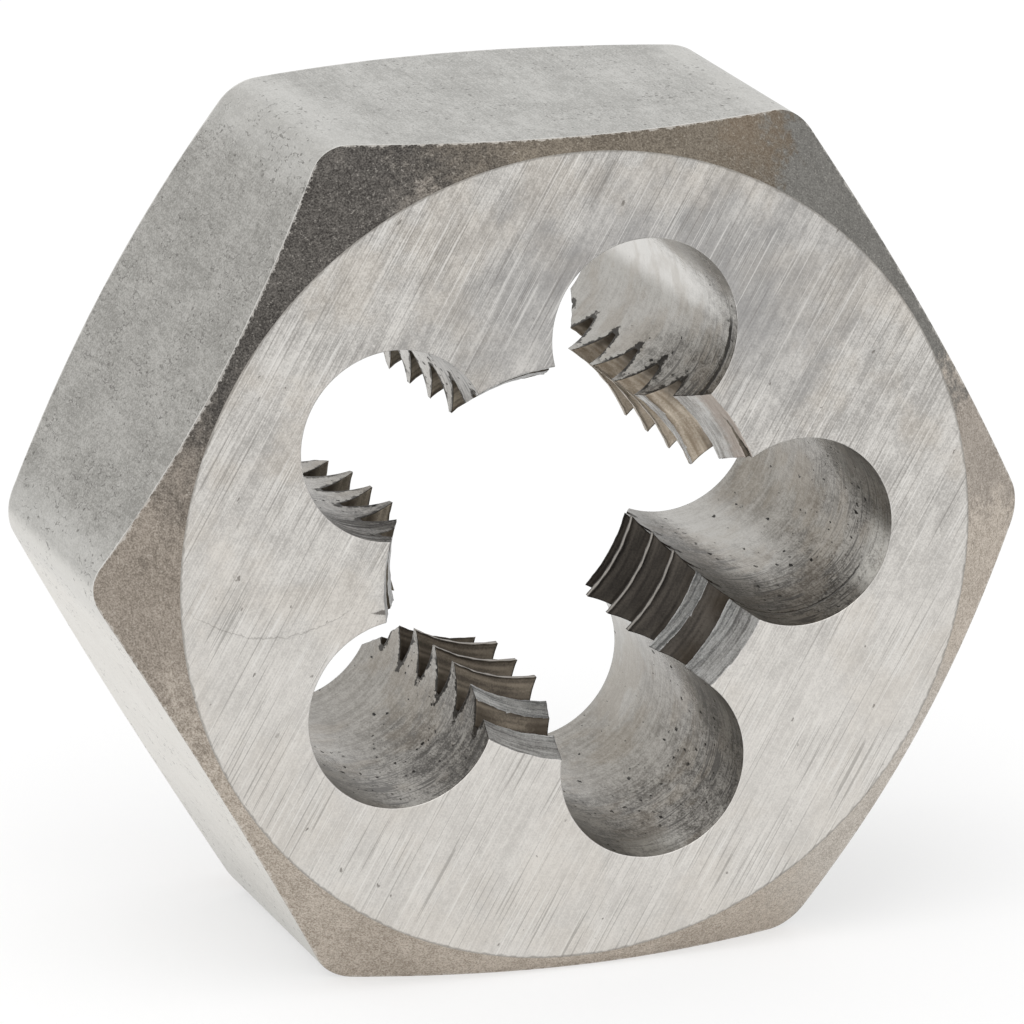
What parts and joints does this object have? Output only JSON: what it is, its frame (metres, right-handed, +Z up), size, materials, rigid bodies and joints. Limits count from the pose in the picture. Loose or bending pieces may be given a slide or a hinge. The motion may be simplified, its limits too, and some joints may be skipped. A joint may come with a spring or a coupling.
{
  "type": "hex rethreading die",
  "caption": "Hexagonal rethreading die with a left-hand internal thread, round chip holes that open into the bore, and turned chamfers at both faces.",
  "frame": {"origin": "middle of the bottom flat that the die stands on", "axes": "+Z up, +Y along the bore from the front face to the back face, +X to the right of the front face"},
  "size_m": [0.0308, 0.0126, 0.027],
  "materials": {
    "steel": "ground faces, scaled chamfers, fine pits"
  },
  "bodies": {
    "root": {"hex_die": "steel"}
  },
  "joints": []
}
